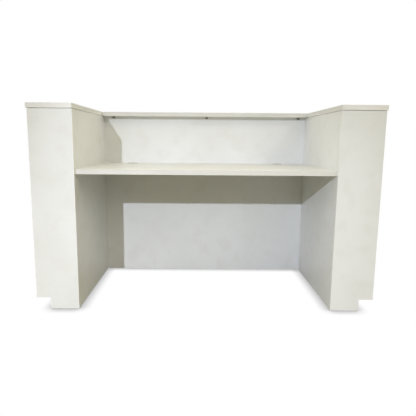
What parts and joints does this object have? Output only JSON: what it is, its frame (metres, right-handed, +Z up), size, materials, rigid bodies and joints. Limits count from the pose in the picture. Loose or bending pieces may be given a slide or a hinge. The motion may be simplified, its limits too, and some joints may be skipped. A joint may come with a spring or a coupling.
{
  "type": "reception desk",
  "caption": "White laminate reception desk seen from the staff side: worktop between hollow columns, raised ledge on a double wall, cable grommets and levelling feet.",
  "frame": {"origin": "on the floor at the middle of the desk's outline", "axes": "+X to the staff's right, +Y from staff to visitors, +Z up"},
  "size_m": [1.8, 0.8, 1.075],
  "materials": {
    "laminate": "satin white melamine on chipboard",
    "edge_band": "white ABS edge band",
    "screw_steel": "bright zinc plate",
    "block_plastic": "moulded grey-brown plastic",
    "foot_plastic": "moulded black plastic",
    "grommet_metal": "polished plate on die-cast zinc",
    "grommet_plastic": "moulded light grey plastic"
  },
  "bodies": {
    "desk": {"ledge": "laminate", "worktop": "laminate", "back_panel": "laminate", "fascia": "laminate", "wall_base_rail": "laminate", "wall_top_rail": "laminate", "end_panel_left": "laminate", "inner_side_left": "laminate", "outer_side_left": "laminate", "plinth_side_left": "laminate", "plinth_far_left": "laminate", "column_base_left": "laminate", "column_shelf_left": "laminate", "near_rail_left": "laminate", "middle_rail_left": "laminate", "far_rail_left": "laminate", "cap_left": "laminate", "wall_stile_left": "laminate", "end_panel_right": "laminate", "inner_side_right": "laminate", "outer_side_right": "laminate", "plinth_side_right": "laminate", "plinth_far_right": "laminate", "column_base_right": "laminate", "column_shelf_right": "laminate", "near_rail_right": "laminate", "middle_rail_right": "laminate", "far_rail_right": "laminate", "cap_right": "laminate", "wall_stile_right": "laminate", "worktop_band": "edge_band", "ledge_band": "edge_band", "end_band_left": "edge_band", "cap_band_left": "edge_band", "end_band_right": "edge_band", "cap_band_right": "edge_band", "edge_screws": "screw_steel", "socket_screws": "screw_steel", "block_screws": "screw_steel", "top_screws": "screw_steel", "ledge_blocks": "block_plastic", "foot_sockets": "foot_plastic", "grommet_sleeve_left": "grommet_metal", "grommet_sleeve_right": "grommet_metal"},
    "cover_left": {"grommet_cover_left": "grommet_plastic"},
    "shutter_left": {"grommet_shutter_left": "grommet_plastic"},
    "cover_right": {"grommet_cover_right": "grommet_plastic"},
    "shutter_right": {"grommet_shutter_right": "grommet_plastic"},
    "pad_left_near": {"foot_pad_left_near": "foot_plastic"},
    "stud_left_near": {"foot_stud_left_near": "screw_steel"},
    "pad_left_far": {"foot_pad_left_far": "foot_plastic"},
    "stud_left_far": {"foot_stud_left_far": "screw_steel"},
    "pad_right_near": {"foot_pad_right_near": "foot_plastic"},
    "stud_right_near": {"foot_stud_right_near": "screw_steel"},
    "pad_right_far": {"foot_pad_right_far": "foot_plastic"},
    "stud_right_far": {"foot_stud_right_far": "screw_steel"}
  },
  "joints": [
    {"name": "cover_left_lift", "type": "slide", "parent": "desk", "child": "cover_left", "axis": [0, 0, 1], "range_m": [0, 0.03]},
    {"name": "shutter_left_turn", "type": "hinge", "parent": "cover_left", "child": "shutter_left", "pos_m": [-0.475, 0.232, 0.7438], "axis": [0, 0, 1], "range_deg": [0, 180]},
    {"name": "cover_right_lift", "type": "slide", "parent": "desk", "child": "cover_right", "axis": [0, 0, 1], "range_m": [0, 0.03]},
    {"name": "shutter_right_turn", "type": "hinge", "parent": "cover_right", "child": "shutter_right", "pos_m": [0.475, 0.232, 0.7438], "axis": [0, 0, 1], "range_deg": [0, 180]},
    {"name": "pad_left_near_slide", "type": "slide", "parent": "desk", "child": "pad_left_near", "axis": [0, 0, -1], "range_m": [0, 0.012]},
    {"name": "stud_left_near_turn", "type": "hinge", "parent": "pad_left_near", "child": "stud_left_near", "pos_m": [-0.745, -0.33, 0.03], "axis": [0, 0, -1], "range_deg": [0, 3490]},
    {"name": "pad_left_far_slide", "type": "slide", "parent": "desk", "child": "pad_left_far", "axis": [0, 0, -1], "range_m": [0, 0.012]},
    {"name": "stud_left_far_turn", "type": "hinge", "parent": "pad_left_far", "child": "stud_left_far", "pos_m": [-0.745, 0.25, 0.03], "axis": [0, 0, -1], "range_deg": [0, 3490]},
    {"name": "pad_right_near_slide", "type": "slide", "parent": "desk", "child": "pad_right_near", "axis": [0, 0, -1], "range_m": [0, 0.012]},
    {"name": "stud_right_near_turn", "type": "hinge", "parent": "pad_right_near", "child": "stud_right_near", "pos_m": [0.745, -0.33, 0.03], "axis": [0, 0, -1], "range_deg": [0, 3490]},
    {"name": "pad_right_far_slide", "type": "slide", "parent": "desk", "child": "pad_right_far", "axis": [0, 0, -1], "range_m": [0, 0.012]},
    {"name": "stud_right_far_turn", "type": "hinge", "parent": "pad_right_far", "child": "stud_right_far", "pos_m": [0.745, 0.25, 0.03], "axis": [0, 0, -1], "range_deg": [0, 3490]}
  ],
  "couplings": [
    {"joint": "stud_left_near_turn", "follows": "pad_left_near_slide", "rad_per_m": 5026.5},
    {"joint": "stud_left_far_turn", "follows": "pad_left_far_slide", "rad_per_m": 5026.5},
    {"joint": "stud_right_near_turn", "follows": "pad_right_near_slide", "rad_per_m": 5026.5},
    {"joint": "stud_right_far_turn", "follows": "pad_right_far_slide", "rad_per_m": 5026.5}
  ]
}
